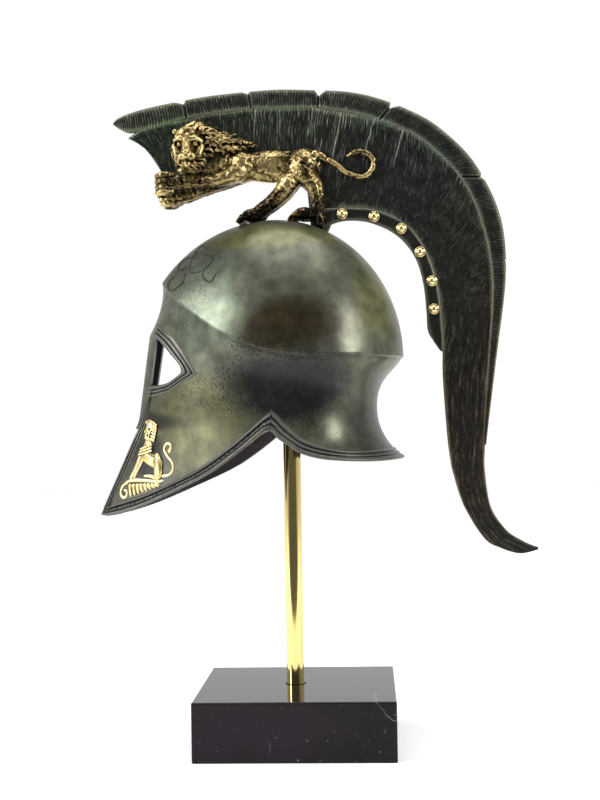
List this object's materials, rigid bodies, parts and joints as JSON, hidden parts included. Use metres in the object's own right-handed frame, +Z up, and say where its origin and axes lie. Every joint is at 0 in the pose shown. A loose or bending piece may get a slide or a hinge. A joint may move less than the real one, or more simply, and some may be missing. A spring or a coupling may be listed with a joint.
{
  "type": "greek bronze helmet on a marble display stand",
  "caption": "Small bronze display helmet with eye holes, nasal, pointed cheeks, neck guard and a curved crest plate with lions, on a brass rod in a marble block.",
  "frame": {"origin": "centre of the marble block's bottom face", "axes": "+Z up along the rod; the helmet faces -Y, turned 4 degrees towards -X; its left side is +X"},
  "size_m": [0.1, 0.2267, 0.3394],
  "materials": {
    "patina_bronze": "cast bronze with a waxed olive-green patina, satin",
    "dark_bronze": "cast bronze with a near-black green patina, chased lines",
    "lion_bronze": "cast bronze, dark in the hollows and rubbed back to bright metal on the high places",
    "gilt_bronze": "bright rubbed bronze",
    "polished_brass": "mirror-polished drawn brass",
    "black_marble": "polished black marble with a few white veins"
  },
  "bodies": {
    "root": {"base": "black_marble", "rod": "polished_brass", "helmet_shell": "patina_bronze", "crest_plate": "dark_bronze", "lion_left": "lion_bronze", "lion_right": "lion_bronze", "sphinx_left": "gilt_bronze", "sphinx_right": "gilt_bronze", "stud_left_1": "gilt_bronze", "stud_left_2": "gilt_bronze", "stud_left_3": "gilt_bronze", "stud_left_4": "gilt_bronze", "stud_left_5": "gilt_bronze", "stud_left_6": "gilt_bronze", "stud_right_1": "gilt_bronze", "stud_right_2": "gilt_bronze", "stud_right_3": "gilt_bronze", "stud_right_4": "gilt_bronze", "stud_right_5": "gilt_bronze", "stud_right_6": "gilt_bronze"}
  },
  "joints": []
}
